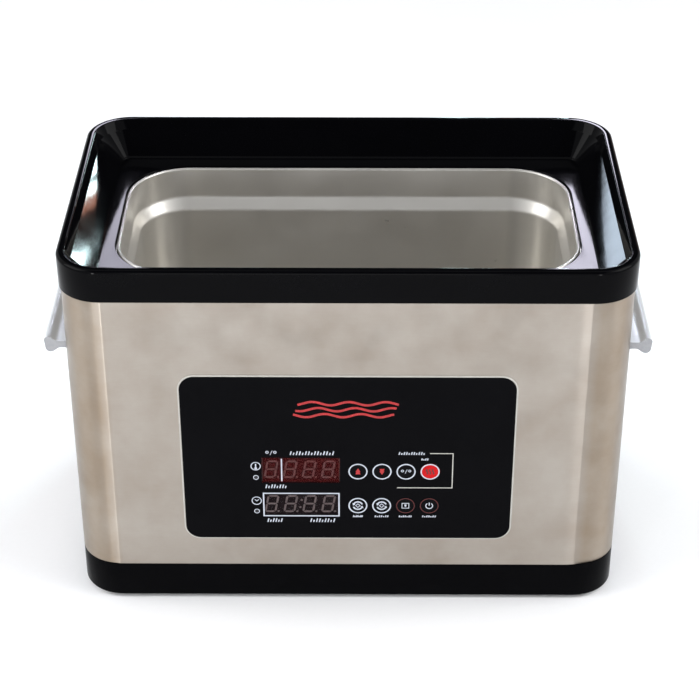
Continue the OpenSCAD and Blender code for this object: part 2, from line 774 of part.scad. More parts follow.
module heater_leads() color([0.85, 0.83, 0.78]) {
    mat_edge = mat_w / 2;
    for (i = [0, 1]) {
        x = power_x + 62.2 + 6.6 * i;
        y = 12 - 8 * i;
        wire([[x, 26, power_top + 12], [x, 26, power_top + 26], [mat_edge + 8, y, mat_z - 12],
            [mat_edge + 8, y, mat_z + 0.3], [mat_edge + 0.8, y, mat_z + 0.3]], 2.2);
    }
}

// ---- Handles ----

// Section of the right handle, x out from the casing and y up: a flared root, a thin neck and a
// bulb whose lower lobe is the larger one
handle_section = concat(
    [[0, 3.6], [1.2, 2.8], [3, handle_neck], [handle_out - 9, handle_neck],
     [handle_out - 7.4, handle_neck + 0.5], [handle_out - 6, handle_neck + 1.7]],
    arc([handle_out - 3, handle_bulb - 3], 3, 120, 5, 6),
    arc([handle_out - 4, 3.4 - handle_bulb], 3.4, -5, -120, 6),
    [[handle_out - 7.4, -4.2], [handle_out - 9.6, -handle_neck - 0.2], [3, -handle_neck],
     [1.2, -2.8], [0, -3.6]]);

module at_handle_screws() {
    for (side = [-1, 1], y = [-55, 0, 55])
        translate([side * (side_x - casing_t - 2.5), y, handle_z]) rotate([0, side * 90, 0]) children();
}

module right_handle() color([0.86, 0.87, 0.88]) {
    difference() {
        translate([side_x, handle_l / 2, handle_z]) rotate([90, 0, 0]) linear_extrude(handle_l)
            polygon(handle_section);
        at_handle_screws() cylinder(d = screw_d + 2 * FIT, h = 13);
    }
}

module left_handle() color([0.86, 0.87, 0.88]) mirror([1, 0, 0]) right_handle();

module handle_plates() color("silver") {
    for (side = [-1, 1]) difference() {
        translate([side * (side_x - casing_t - 1), 0, handle_z])
            cube([2, handle_l - 10, 14], center = true);
        at_handle_screws() translate([0, 0, -1]) cylinder(d = screw_d + 2 * FIT, h = 6);
    }
}

module handle_screws() color("gainsboro") {
    at_handle_screws() translate([0, 0, 0.5]) screw(screw_d, 11, 5.6, 2);
}

top_rim();
tank_gasket();
tank();
tank_clamps();
tank_clamp_screws();
casing();
tie_rods();
tie_rod_nuts();
base_tray();
bottom_plate();
bottom_plate_screws();
feet();
foot_screws();
heater_mat();
heater_clamp_plate();
heater_nuts();
tank_insulation();
thermal_cutout();
thermal_fuse();
temperature_probe();
panel_frame();
panel_nuts();
panel_overlay();
temperature_window();
timer_window();
temperature_display();
timer_display();
indicator_lamps();
display_board();
board_screws();
tact_switches();
buzzer();
ribbon_cable();
key_raise();
key_lower();
key_units();
key_heat();
key_hours();
key_minutes();
key_preset();
key_power();
power_board();
board_posts();
transformer();
relay();
heat_sink();
triac();
fuse_holder();
fuse();
terminal_block();
mains_inlet();
inlet_pins();
inlet_fixings();
mains_leads();
heater_leads();
left_handle();
right_handle();
handle_plates();
handle_screws();
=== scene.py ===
import json
import math

import bmesh
import bpy
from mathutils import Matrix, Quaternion, Vector


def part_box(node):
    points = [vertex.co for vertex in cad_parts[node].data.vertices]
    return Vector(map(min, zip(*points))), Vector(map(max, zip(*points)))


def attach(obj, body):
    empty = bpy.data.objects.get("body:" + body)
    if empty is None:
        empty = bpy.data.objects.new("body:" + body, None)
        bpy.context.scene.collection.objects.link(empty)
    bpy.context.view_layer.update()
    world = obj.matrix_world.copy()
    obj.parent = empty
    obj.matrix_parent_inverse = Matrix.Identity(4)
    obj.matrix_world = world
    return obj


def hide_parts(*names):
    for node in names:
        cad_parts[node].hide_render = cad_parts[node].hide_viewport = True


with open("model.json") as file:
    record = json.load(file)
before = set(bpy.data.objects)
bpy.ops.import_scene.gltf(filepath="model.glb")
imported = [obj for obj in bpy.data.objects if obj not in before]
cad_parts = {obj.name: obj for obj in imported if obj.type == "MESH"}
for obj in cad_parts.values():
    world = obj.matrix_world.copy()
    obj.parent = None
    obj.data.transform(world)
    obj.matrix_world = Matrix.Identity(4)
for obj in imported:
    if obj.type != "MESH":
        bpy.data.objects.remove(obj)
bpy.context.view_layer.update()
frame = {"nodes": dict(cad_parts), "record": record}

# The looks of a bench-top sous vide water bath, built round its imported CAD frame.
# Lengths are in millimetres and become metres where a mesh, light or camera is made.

MM = 0.001
SLOT_OF = {part["node"]: part["material_slot"] for part in frame["record"]["subparts"]}


def box(node):
    """Lowest and highest corner of a CAD node, in millimetres."""
    low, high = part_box(node)
    return low / MM, high / MM


def middle(node):
    low, high = box(node)
    return (low + high) / 2


# ---- Outlines ----

def arc(centre, radius, start, end, steps):
    """Points from angle start to angle end, in degrees, about centre."""
    angles = [math.radians(start + (end - start) * i / steps) for i in range(steps + 1)]
    return [Vector((centre[0] + radius * math.cos(a), centre[1] + radius * math.sin(a))) for a in angles]


def circle(centre, radius, steps=40):
    return arc(centre, radius, 0, 360, steps)[:-1]


def rounded(width, depth, radius, steps=24):
    """A rectangle with rounded corners, centred on the origin."""
    x, y = width / 2 - radius, depth / 2 - radius
    points = []
    for quarter, (side_x, side_y) in enumerate(((1, 1), (-1, 1), (-1, -1), (1, -1))):
        points += arc((side_x * x, side_y * y), radius, 90 * quarter, 90 * quarter + 90, steps)
    return points


def filleted(corners, steps=5):
    """A closed outline from corners (x, y, fillet radius)."""
    points = []
    for i, (x, y, radius) in enumerate(corners):
        here = Vector((x, y))
        if radius == 0:
            points.append(here)
            continue
        before = (Vector(corners[i - 1][:2]) - here).normalized()
        after = (Vector(corners[(i + 1) % len(corners)][:2]) - here).normalized()
        half = before.angle(after) / 2
        centre = here + (before + after).normalized() * radius / math.sin(half)
        start = here + before * radius / math.tan(half) - centre
        end = here + after * radius / math.tan(half) - centre
        points += [centre + start.slerp(end, k / steps).normalized() * radius for k in range(steps + 1)]
    return points


# ---- Meshes ----

SHARP_EDGE = 32


def piece(name, mesh_data, slot, body="bath", replaces=(), look=None):
    """A smooth-shaded piece that rides on a body; mesh_data is (vertices in mm, faces).

    It takes its slot's material, unless look is given.
    """
    vertices, faces = mesh_data
    mesh = bpy.data.meshes.new(name)
    mesh.from_pydata([Vector(v) * MM for v in vertices], [], faces)
    shell = bmesh.new()
    shell.from_mesh(mesh)
    bmesh.ops.recalc_face_normals(shell, faces=shell.faces)
    shell.to_mesh(mesh)
    shell.free()
    mesh.shade_smooth()
    mesh.set_sharp_from_angle(angle=math.radians(SHARP_EDGE))
    mesh.materials.append(look or FINISHES[slot])
    made = bpy.data.objects.new(name, mesh)
    bpy.context.scene.collection.objects.link(made)
    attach(made, body)
    if replaces:
        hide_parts(*replaces)
    return made


def joined(*parts):
    """Several (vertices, faces) as one."""
    vertices, faces = [], []
    for more_vertices, more_faces in parts:
        base = len(vertices)
        vertices += more_vertices
        faces += [[base + i for i in face] for face in more_faces]
    return vertices, faces


def loft(loops, closed=False):
    """Quads between loops of equally many points. Open lofts are capped at both ends."""
    count = len(loops[0])
    vertices = [point for loop in loops for point in loop]
    faces = []
    for k in range(len(loops) if closed else len(loops) - 1):
        low, high = k * count, (k + 1) % len(loops) * count
        for i in range(count):
            j = (i + 1) % count
            faces.append([low + i, low + j, high + j, high + i])
    if not closed:
        faces.append(list(range(count))[::-1])
        faces.append([(len(loops) - 1) * count + i for i in range(count)])
    return vertices, faces


def level(outline, height):
    return [Vector((p.x, p.y, height)) for p in outline]


def concentric(width, depth, corner, section):
    """Loops of a rounded rectangle, one for each (inset, height); corner(inset) is its radius."""
    loops = []
    for inset, height in section:
        loops.append(level(rounded(width - 2 * inset, depth - 2 * inset, corner(inset)), height))
    return loops


def ring(width, depth, corner, section, closed=True):
    """A section of (inset, height) carried round a rounded rectangle."""
    return loft(concentric(width, depth, corner, section), closed)


def prism(outline, place, start, end):
    """An outline pushed from start to end; place(point, distance) gives the 3-D position."""
    return loft([[place(p, start) for p in outline], [place(p, end) for p in outline]])


def lathe(profile, place, steps=48):
    """A profile of (radius, height) turned round its axis; place(x, y, height) gives the position."""
    loops = []
    for radius, height in profile:
        loops.append([place(p.x, p.y, height) for p in circle((0, 0), radius, steps)])
    return loft(loops)


def facing_front(point, depth):
    """Outlines are drawn as seen from the front, and depth is a Y."""
    return Vector((point.x, depth, point.y))


def modifier(made, kind, **settings):
    added = made.modifiers.new(kind.title(), kind)
    for key, value in settings.items():
        setattr(added, key, value)


def bevel(made, width, angle=40):
    """Rounds the edges that are sharper than angle."""
    modifier(made, "BEVEL", width=width * MM, segments=2, limit_method="ANGLE",
             angle_limit=math.radians(angle), harden_normals=True)


def cut(made, *cutters):
    """Takes closed (vertices, faces) out of a piece and keeps the result as its mesh."""
    tool = piece("cutter", joined(*cutters), SLOT_OF["casing"])
    modifier(made, "BOOLEAN", operation="DIFFERENCE", solver="EXACT", use_self=True, object=tool)
    bpy.context.view_layer.update()
    result = bpy.data.meshes.new_from_object(made.evaluated_get(bpy.context.evaluated_depsgraph_get()))
    made.modifiers.clear()
    result.materials.clear()
    result.materials.append(made.data.materials[0])
    made.data = result
    bpy.data.objects.remove(tool)
    result.set_sharp_from_angle(angle=math.radians(SHARP_EDGE))


def block(low, high):
    """A box between two corners."""
    outline = [Vector((low[0], low[2])), Vector((high[0], low[2])),
               Vector((high[0], high[2])), Vector((low[0], high[2]))]
    return prism(outline, facing_front, low[1], high[1])


# ---- Materials ----

# Where the painted shade and painted brown reflection of the bent front corners begin and end across the
# front, and how far back they go, in mm
BENT_FROM = (154, 162)
BENT_TO = (176, 184)
BENT_BACK = (-90, -60)
# How much of the painted corner shade is left in the pale patches
PAINTED_SHADE_IN_PALE_PATCHES = 0.55
# A quarter turn: the brushing draws highlights out up and down
BRUSH_TURN = 0.25
# The least and most roughness, and the relief's depth, as parts of the roughness and of the grit
GLOSSIER, DULLER = 0.8, 1.25
RELIEF_DEPTH = 0.3


def node(tree, kind, inputs=None, **settings):
    """Adds a shader node and returns its first output."""
    made = tree.nodes.new("ShaderNode" + kind)
    for key, value in settings.items():
        setattr(made, key, value)
    for socket, value in (inputs or {}).items():
        if isinstance(value, bpy.types.NodeSocket):
            tree.links.new(value, made.inputs[socket])
        else:
            made.inputs[socket].default_value = value
    return made.outputs[0]


def noise(tree, size, stretch=(1, 1, 1), detail=3, roughness=0.55):
    """Noise whose features are about size millimetres, longer by stretch along each axis."""
    where = node(tree, "TexCoord").node.outputs["Object"]
    scale = [1 / (size * MM * s) for s in stretch]
    place = node(tree, "Mapping", {"Vector": where, "Scale": scale})
    return node(tree, "TexNoise", {"Vector": place, "Scale": 1, "Detail": detail, "Roughness": roughness})


def spread(tree, factor, low, high, start=0.3, end=0.7):
    """Goes from low to high as the factor goes from start to end."""
    return node(tree, "MapRange", {"Value": factor, "From Min": start, "From Max": end,
                                   "To Min": low, "To Max": high})


def shades(tree, factor, *stops):
    """A colour ramp of (position, colour)."""
    colour = node(tree, "ValToRGB", {"Fac": factor})
    elements = colour.node.color_ramp.elements
    while len(elements) < len(stops):
        elements.new(0.5)
    for element, (position, tint) in zip(elements, stops):
        element.position = position
        element.color = (*tint, 1)
    return colour


def scaled(tint, by):
    return tuple(min(1, c * by) for c in tint)


def painted_shade_at_front_corners(tree, patches):
    """Where the casing's front gets painted shade and a painted brown reflection: 1 on its bent corners, less
    in its pale patches and 0 elsewhere.
    """
    where = node(tree, "TexCoord").node.outputs["Object"]
    place = node(tree, "SeparateXYZ", {0: where}).node
    across = node(tree, "Math", {0: place.outputs["X"]}, operation="ABSOLUTE")
    factors = (
        spread(tree, across, 1, 0, start=BENT_TO[0] * MM, end=BENT_TO[1] * MM),
        spread(tree, place.outputs["Y"], 1, 0, start=BENT_BACK[0] * MM, end=BENT_BACK[1] * MM),
        spread(tree, patches, 1, PAINTED_SHADE_IN_PALE_PATCHES),
    )
    corner = spread(tree, across, 0, 1, start=BENT_FROM[0] * MM, end=BENT_FROM[1] * MM)
    for factor in factors:
        corner = node(tree, "Math", {0: corner, 1: factor}, operation="MULTIPLY")
    return corner


def finish(name, tint, roughness, metallic=0, specular=0.5, vary=0.12, patch=18, grit=0.5,
           bump=0.1, brush=None, wear=0.15, swell=None, alpha=1, anisotropic=0, other_tint=None,
           painted_corner_shade=None):
    """A surface with patchy colour, uneven gloss and a fine relief.

    patch and grit are the sizes, in mm, of the patches and of the relief. vary is how far the
    patches depart from the tint, and they run from tint to other_tint where there is one. brush, if
    given, is how much longer the relief is along each axis, as on brushed metal. wear is how much
    the relief shows in the colour and the gloss. swell, if given, is the size and the depth in mm of
    slow waves in the surface, such as those of moulded plastic. The last argument, if given, is a
    colour that darkens the bent corners of the casing's front: painted shade and a painted brown
    reflection.
    """
    material = bpy.data.materials.new(name)
    material.use_nodes = True
    tree = material.node_tree
    shader = tree.nodes["Principled BSDF"]
    patches = noise(tree, patch, detail=5)
    relief = noise(tree, grit, brush or (1, 1, 1), detail=4, roughness=0.6)
    worn = spread(tree, relief, -wear, wear)
    shade = node(tree, "Math", {0: patches, 1: worn}, operation="ADD")
    colour = shades(tree, shade, (0.3, scaled(tint, 1 - vary)), (0.7, scaled(other_tint or tint, 1 + vary)))
    # Painted shade and a painted brown reflection, multiplied into the bent front corners of the casing
    if painted_corner_shade:
        corners = painted_shade_at_front_corners(tree, patches)
        colour = node(tree, "MixRGB", {"Fac": corners, "Color1": colour, "Color2": (*painted_corner_shade, 1)},
                      blend_type="MULTIPLY")
    tree.links.new(colour, shader.inputs["Base Color"])
    gloss_patches = noise(tree, patch * 0.6, detail=6)
    gloss = node(tree, "Math", {0: gloss_patches, 1: worn}, operation="ADD")
    rough = spread(tree, gloss, roughness * GLOSSIER, min(1, roughness * DULLER))
    tree.links.new(rough, shader.inputs["Roughness"])
    normal = node(tree, "Bump", {"Height": relief, "Strength": bump, "Distance": grit * MM * RELIEF_DEPTH})
    if swell:
        size, depth = swell
        waves = noise(tree, size, detail=1)
        normal = node(tree, "Bump", {"Height": waves, "Strength": 1, "Distance": depth * MM,
                                     "Normal": normal})
    tree.links.new(normal, shader.inputs["Normal"])
    shader.inputs["Metallic"].default_value = metallic
    shader.inputs["Specular IOR Level"].default_value = specular
    shader.inputs["Alpha"].default_value = alpha
    if anisotropic:
        shader.inputs["Anisotropic"].default_value = anisotropic
        shader.inputs["Anisotropic Rotation"].default_value = BRUSH_TURN
        tree.links.new(node(tree, "Tangent", direction_type="RADIAL", axis="Z"), shader.inputs["Tangent"])
    return material


# How much longer the brushing's relief is along x, y and z
ALONG_X = (60, 60, 1)
ALONG_Y = (1, 80, 1)
STEEL = (0.60, 0.59, 0.57)
ZINC = (0.55, 0.56, 0.57)
BLACK = (0.0012, 0.0012, 0.0016)

FINISHES = {
    "black_abs": finish("black_abs", BLACK, 0.06, specular=0.05, grit=0.9, bump=0.01, patch=30,
                        swell=(16, 0.02)),
    "base_abs": finish("base_abs", BLACK, 0.24, specular=0.025, grit=0.35, bump=0.08, patch=30),
    "black_silicone": finish("black_silicone", (0.02, 0.02, 0.02), 0.6),
    "black_rubber": finish("black_rubber", (0.018, 0.018, 0.018), 0.75, grit=0.6, bump=0.25),
    "tank_steel": finish("tank_steel", (0.63, 0.61, 0.57), 0.34, 0.85, vary=0.03, patch=60, grit=0.3,
                         brush=ALONG_X, bump=0.003, wear=0.03, anisotropic=0.3),
    # The casing's bent front corners get painted shade and a painted brown reflection
    "casing_steel": finish("casing_steel", (0.335, 0.293, 0.252), 0.36, 1, vary=0.02, patch=38, grit=0.2,
                           brush=ALONG_X, bump=0.01, wear=0.05, anisotropic=0.9,
                           other_tint=(0.385, 0.352, 0.315), painted_corner_shade=(0.88, 0.80, 0.70)),
    "zinc_steel": finish("zinc_steel", ZINC, 0.35, 1),
    "screw_steel": finish("screw_steel", STEEL, 0.25, 1, patch=3, grit=0.2),
    "galvanised_sheet": finish("galvanised_sheet", (0.52, 0.53, 0.54), 0.4, 1, vary=0.3, patch=9, grit=4),
    "heater_silicone": finish("heater_silicone", (0.50, 0.13, 0.05), 0.55),
    "plain_aluminium": finish("plain_aluminium", (0.70, 0.71, 0.72), 0.4, 1, brush=ALONG_X),
    "handle_aluminium": finish("handle_aluminium", (0.74, 0.77, 0.79), 0.42, 0.55, vary=0.03, patch=25,
                               grit=0.16, brush=ALONG_Y, bump=0.05),
    "glass_fibre": finish("glass_fibre", (0.75, 0.70, 0.58), 0.9, grit=1.5, bump=0.6),
    "dark_phenolic": finish("dark_phenolic", (0.05, 0.04, 0.04), 0.5),
    "glazed_ceramic": finish("glazed_ceramic", (0.75, 0.72, 0.62), 0.3),
    "frame_abs": finish("frame_abs", (0.012, 0.012, 0.013), 0.5),
    "overlay_film": finish("overlay_film", (0.0018, 0.0018, 0.0024), 0.3, specular=0.03, grit=0.12,
                           bump=0.08, patch=40),
    "red_filter": finish("red_filter", (0.07, 0.005, 0.005), 0.2, specular=0.03, alpha=0.30, grit=2,
                         bump=0.01),
    "smoked_filter": finish("smoked_filter", (0.006, 0.005, 0.006), 0.2, specular=0.03, alpha=0.16, grit=2,
                            bump=0.01),
    "display_body": finish("display_body", (0.013, 0.008, 0.009), 0.5, specular=0.05, vary=0.03, grit=0.2,
                           bump=0.02),
    "lamp_lens": finish("lamp_lens", (0.03, 0.03, 0.034), 0.2, specular=0.2),
    "circuit_board": finish("circuit_board", (0.02, 0.10, 0.04), 0.35, vary=0.3, patch=6, grit=2),
    "ribbon_pvc": finish("ribbon_pvc", (0.42, 0.42, 0.42), 0.45, brush=(1, 60, 60), grit=1.2),
    "key_film": finish("key_film", (0.0024, 0.0024, 0.003), 0.26, specular=0.04, grit=0.12, bump=0.08,
                       patch=40),
    "red_key_film": finish("red_key_film", (0.44, 0.006, 0.008), 0.26, specular=0.1, grit=0.12, bump=0.08,
                           patch=12),
    "brass_post": finish("brass_post", (0.72, 0.50, 0.20), 0.3, 1),
    "core_iron": finish("core_iron", (0.16, 0.15, 0.14), 0.5, 0.8, grit=0.5, brush=(40, 40, 1), bump=0.5),
    "relay_blue": finish("relay_blue", (0.02, 0.05, 0.30), 0.35),
    "fuse_glass": finish("fuse_glass", (0.70, 0.72, 0.70), 0.08),
    "terminal_green": finish("terminal_green", (0.02, 0.22, 0.06), 0.4),
    "inlet_nylon": finish("inlet_nylon", (0.011, 0.011, 0.012), 0.42, specular=0.3, grit=0.4, bump=0.15),
    "pin_brass": finish("pin_brass", (0.62, 0.60, 0.55), 0.22, 1, patch=4, grit=0.2, brush=ALONG_Y),
    "lead_brown": finish("lead_brown", (0.09, 0.03, 0.012), 0.4),
    "lead_white": finish("lead_white", (0.70, 0.68, 0.60), 0.5),
}
# The handles' end faces: the saw-cut grain is real, and their tint, darker than the handle's, is painted
# shade
SAWN_END_PAINTED_SHADE = finish("sawn_end_painted_shade", (0.33, 0.335, 0.35), 0.5, 0.8, vary=0.05, patch=4, grit=0.2, bump=0.15)
INK_WHITE = finish("ink_white", (0.46, 0.49, 0.56), 0.5, vary=0.1, patch=3, grit=0.15, bump=0.1)
INK_SILVER = finish("ink_silver", (0.47, 0.46, 0.425), 0.45, vary=0.08, patch=6, grit=0.15, bump=0.1)
INK_RED = finish("ink_red", (0.36, 0.008, 0.010), 0.5, vary=0.15, patch=3, grit=0.15, bump=0.1)
INK_DARK_RED = finish("ink_dark_red", (0.085, 0.006, 0.006), 0.5, vary=0.15, patch=3, grit=0.15)
SEGMENT = finish("unlit_segment", (0.17, 0.125, 0.125), 0.5, vary=0.1, patch=3, grit=0.2)

for cad_node, cad_object in frame["nodes"].items():
    cad_object.data.materials.clear()
    cad_object.data.materials.append(FINISHES[SLOT_OF[cad_node]])

# ---- Rim, tank, casing and base ----

RIM_LOW, RIM_HIGH = box("top_rim")
RIM_W = RIM_HIGH.x - RIM_LOW.x
RIM_D = RIM_HIGH.y - RIM_LOW.y
TOP = RIM_HIGH.z
RIM_BOTTOM = TOP - 23
LEDGE_Z = TOP - 22.4
CORNER_R = 30
# How far inside the rim the foot of its slope is
SLOPE_IN = 23
# How far inside the rim the ledge's opening is, at the sides and at the front and rear
LEDGE_IN = (31.6, 36)
LEDGE_R = 42
# The casing and the base stand this far inside the rim
CASING_IN = 1.5
CASING_R = CORNER_R - CASING_IN
# Thickness of the tank's and the casing's steel
SHEET = 0.8


def rim_corner(inset):
    return CORNER_R - inset


def build_rim():
    """Concentric loops down to the slope's foot, then a ledge that is narrower at the sides."""
    wall, land_t, sheet = 3, 2.2, 1.6
    skirt_t, skirt_top = 1.3, RIM_BOTTOM + 8
    land_in = 5.5
    step_in, step_deep = 9, 6.5
    slope_deep = 20.9
    foot_in = SLOPE_IN + 0.6
    outside = filleted([
        (wall, TOP - land_t, 0),
        (wall, skirt_top, 0),
        (skirt_t, skirt_top, 0),
        (skirt_t, RIM_BOTTOM, 0.3),
        (0, RIM_BOTTOM, 0.4),
        (0, TOP, 2.5),
        (land_in, TOP, 1.0),
        (step_in, TOP - step_deep, 1.4),
        (SLOPE_IN, TOP - slope_deep, 0.9),
        (foot_in, LEDGE_Z, 0.4),
        (foot_in + 1, LEDGE_Z, 0),
    ])[:-1]
    behind = 1.5
    underside = [(SLOPE_IN - behind, LEDGE_Z - sheet), (step_in - behind, TOP - step_deep - sheet),
                 (wall + sheet, TOP - land_t)]
    width, depth = RIM_W - 2 * LEDGE_IN[0], RIM_D - 2 * LEDGE_IN[1]
    edge = 0.3
    opening = rounded(width, depth, LEDGE_R)
    lip = rounded(width + 2 * edge, depth + 2 * edge, LEDGE_R + edge)
    loops = concentric(RIM_W, RIM_D, rim_corner, outside)
    loops += [level(lip, LEDGE_Z), level(opening, LEDGE_Z - edge), level(opening, LEDGE_Z - sheet)]
    loops += concentric(RIM_W, RIM_D, rim_corner, underside)
    piece("rim_moulding", loft(loops, closed=True), "black_abs", replaces=["top_rim"])


def build_tank():
    """A section from the floor up the wet side, over the bead and flange, and down the dry side."""
    low, high = box("tank")
    flange, bead, mouth_r = 7, 1.2, 39
    width, depth = high.x - low.x - 2 * flange, high.y - low.y - 2 * flange
    bead_z = high.z - bead
    flange_top = bead_z - bead + 0.2
    flange_foot = flange_top - SHEET
    step_top, step_foot = high.z - 22, high.z - 30.5
    upper_in, middle_in, lower_in = 0.3, 5, 7
    soft = 6
    floor, floor_r = high.z - 152, 15
    floor_in, bend_z = lower_in + floor_r, floor + floor_r
    wet = [Vector((floor_in + inwards, floor)) for inwards in (15, 10, 5)]
    wet += arc((floor_in, bend_z), floor_r, 270, 180, 12)
    wet += filleted([(lower_in, bend_z, 0), (middle_in, step_foot, soft), (upper_in, step_top, soft),
                     (0, bead_z, 0)])[1:-1]
    wet += arc((-bead, bead_z), bead, 0, 180, 12)
    wet += [Vector((-2 * bead, flange_top)), Vector((-flange, flange_top))]
    dry = [Vector((-flange, flange_foot)), Vector((-bead, flange_foot))]
    dry += filleted([(-SHEET, bead_z, 0), (upper_in - SHEET, step_top, soft),
                     (middle_in - SHEET, step_foot, soft), (lower_in - SHEET, bend_z, 0)])[1:-1]
    dry += arc((floor_in, bend_z), floor_r + SHEET, 180, 270, 12)
    dry += [Vector((floor_in + 15, floor - SHEET))]
    tub = ring(width, depth, lambda inset: mouth_r - inset, wet + dry, closed=False)
    piece("tank_tub", tub, "tank_steel", replaces=["tank"])


# Where each front corner begins, in x, and its first (radius, degrees) bends
FRONT_BENDS = ((-155.8, ((8, 10),)), (146.5, ((96, 5), (4, 10))))


def front_corner(start, bends, inset):
    """Slight bends, a narrow flat and the round of one front corner, from the front to the side."""
    half_w, half_d = RIM_W / 2 - CASING_IN, RIM_D / 2 - CASING_IN
    side = 1 if start > 0 else -1
    across, depth, turned = abs(start), -half_d, 0
    points = []
    for radius, degrees in bends:
        lean = math.radians(turned)
        centre = (across - radius * math.sin(lean), depth + radius * math.cos(lean))
        points += arc(centre, radius - inset, turned - 90, turned + degrees - 90, 8)
        turned += degrees
        lean = math.radians(turned)
        across, depth = centre[0] + radius * math.sin(lean), centre[1] - radius * math.cos(lean)
    # the round ends where the plain corner would, and the flat takes up what is left
    wide, deep = half_w - across, CASING_R - half_d - depth
    radius = (deep - wide * math.tan(lean)) / (math.cos(lean) - (1 - math.sin(lean)) * math.tan(lean))
    points += arc((half_w - radius, CASING_R - half_d), radius - inset, turned - 90, 0, 24)
    points = [Vector((side * p.x, p.y)) for p in points]
    return points if side > 0 else points[::-1]


def casing_outline(inset):
    """A rounded rectangle whose front corners start with a crease or a soft shoulder."""
    x, y = RIM_W / 2 - CORNER_R, RIM_D / 2 - CORNER_R
    radius = CASING_R - inset
    points = arc((x, y), radius, 0, 90, 24) + arc((-x, y), radius, 90, 180, 24)
    for start, bends in FRONT_BENDS:
        points += front_corner(start, bends, inset)
    return points


def build_casing():
    """The bent sheet with its holes for the panel and the inlet, and the strip behind its rear seam."""
    low, high = box("casing")
    section = ((0, low.z), (0, high.z), (SHEET, high.z), (SHEET, low.z))
    loops = [level(casing_outline(inset), height) for inset, height in section]
    wrap = piece("casing_wrap", loft(loops, closed=True), "casing_steel", replaces=["casing"])
    panel_low, panel_high = box("panel_overlay")
    overlap = 10
    inlet = middle("mains_inlet")
    inlet_w, inlet_h = 14, 10.2
    rear = RIM_D / 2 - CASING_IN
    seam, gap, strip_w = -70, 0.2, 8
    past = 5
    cut(wrap,
        block((panel_low.x + overlap, -rear - past, panel_low.z + overlap),
              (panel_high.x - overlap, past - rear, panel_high.z - overlap)),
        block((inlet.x - inlet_w, rear - past, inlet.z - inlet_h),
              (inlet.x + inlet_w, rear + past, inlet.z + inlet_h)),
        block((seam - gap, rear - past, low.z - past), (seam + gap, rear + past, high.z + past)))
    tray_top = box("base_tray")[1].z
    strip_y = rear - SHEET - 0.05
    strip = block((seam - strip_w, strip_y - SHEET, tray_top + 1), (seam + strip_w, strip_y, high.z))
    piece("seam_strip", strip, "casing_steel")


def base_corner(inset):
    """The radius of the base's corners, which stop shrinking well inside the wall."""
    return CASING_R - min(inset, 22)


def build_base():
    """The casing stands flush on the tray's shoulder, round its upstand."""
    low, high = box("base_tray")
    bottom, shoulder = low.z, box("casing")[0].z
    plate_low, plate_high = box("bottom_plate")
    plate_overlap, plate_gap, plate_deep = 5.7, 0.3, 1.2
    inner_in = high.x - (plate_high.x - plate_overlap)
    inner_z = bottom + 3.5
    upstand_out, upstand_in = 3.6, 4.6
    section = filleted([
        (0, shoulder, 0.25),
        (0, bottom, 1.5),
        (inner_in, bottom, 0.5),
        (inner_in, inner_z, 0),
        (upstand_in, inner_z, 0),
        (upstand_in, high.z, 0.3),
        (upstand_out, high.z, 0.3),
        (upstand_out, shoulder, 0),
    ])
    tray = piece("base_moulding", ring(high.x - low.x, high.y - low.y, base_corner, section), "base_abs",
                 replaces=["base_tray"])
    holes = [block((plate_low.x - plate_gap, plate_low.y - plate_gap, bottom - 1),
                   (plate_high.x + plate_gap, plate_high.y + plate_gap, bottom + plate_deep))]
    rod_x, rod_y = RIM_W / 2 - 27, RIM_D / 2 - 24.5
    nut_r, nut_deep = 4.5, 3.2
    for x in (-rod_x, rod_x):
        for y in (-rod_y, rod_y):
            def place(px, py, h, x=x, y=y):
                return Vector((x + px, y + py, h))
            holes.append(lathe([(nut_r, bottom - 1), (nut_r, bottom + nut_deep)], place))
    cut(tray, *holes)


# ---- Handles ----

def build_handle(side):
    name = "left_handle" if side < 0 else "right_handle"
    low, high = box(name)
    root = abs(low.x if side > 0 else high.x)
    out = abs(high.x if side > 0 else low.x) - root
    centre_z = middle("handle_plates").z
    web = 2.5
    # from the casing's wall along the top of the web, round both lobes and back underneath; the lower
    # lobe stands a little farther in than the upper one
    root_flare = ((0, 3.6), (0.5, 3.1), (1.2, 2.8), (3, web))
    section = [Vector(p) for p in root_flare]
    section += [Vector((out - inwards, height)) for inwards, height in (
        (9, web), (8.2, 2.65), (7.4, 3.0), (6.7, 3.5), (6, 4.2), (5.3, 4.85))]
    section += arc((out - 3, 2.8), 3, 120, 5, 12)
    section += arc((out - 4, -2.4), 3.4, -5, -120, 12)
    section += [Vector((out - inwards, -height)) for inwards, height in (
        (6.4, 5.0), (7.4, 4.2), (8.4, 3.4), (9.6, 2.7), (11, web))]
    section += [Vector((inwards, -height)) for inwards, height in root_flare[::-1]]

    def place(point, distance):
        return Vector((side * (root + point.x), distance, centre_z + point.y))

    bar = piece(name + "_bar", prism(section, place, low.y, high.y), "handle_aluminium", replaces=[name])
    # The end faces get the sawn-end material, whose darker tint is painted shade
    bar.data.materials.append(SAWN_END_PAINTED_SHADE)
    for face in bar.data.polygons:
        across_the_bar = abs(face.normal.y) > 0.9
        face.material_index = int(across_the_bar)
    bevel(bar, 0.35, angle=60)


# ---- Front panel ----

PANEL_LOW, PANEL_HIGH = box("panel_overlay")
FACE_Y = PANEL_LOW.y
PANEL_Z = (PANEL_LOW.z + PANEL_HIGH.z) / 2
INK_T = 0.03
DIGIT_PITCH = 12.7
DIGIT_LEAN = 0.176
